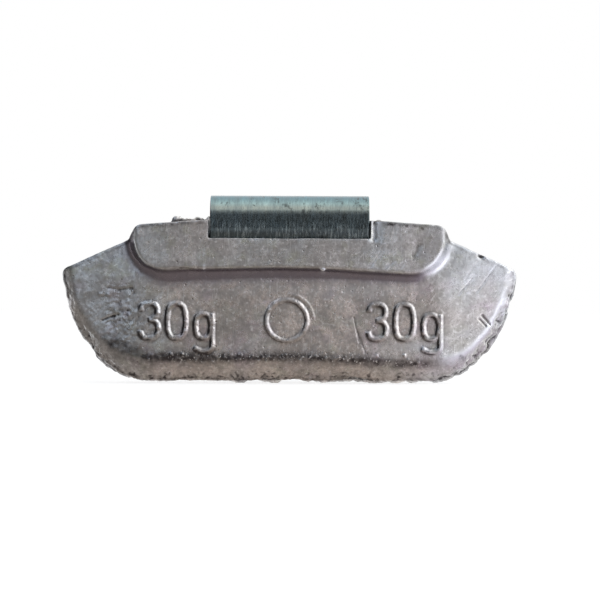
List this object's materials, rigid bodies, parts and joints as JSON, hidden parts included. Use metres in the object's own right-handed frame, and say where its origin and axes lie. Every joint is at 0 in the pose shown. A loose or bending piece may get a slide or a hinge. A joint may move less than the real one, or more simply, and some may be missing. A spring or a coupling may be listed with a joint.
{
  "type": "wheel balance weight",
  "caption": "Clip-on wheel balance weight: a bevelled lead casting with a raised pad and a spring-steel hook that grips the flange of a rim.",
  "frame": {"origin": "the rim seat: on the flat back of the casting, at mid-length, level with the centre of the hook's bend", "axes": "+X along the weight, tangent to the rim; front face towards -Y, away from the wheel; +Z outward from the wheel axis, up as drawn"},
  "size_m": [0.0516, 0.0089, 0.0212],
  "materials": {
    "lead": "as-cast lead alloy, dull grey with a slight sheen and small handling marks",
    "spring_steel": "bright zinc plating over brushed spring steel, slightly blue"
  },
  "bodies": {
    "root": {"weight_casting": "lead", "spring_clip": "spring_steel"}
  },
  "joints": []
}
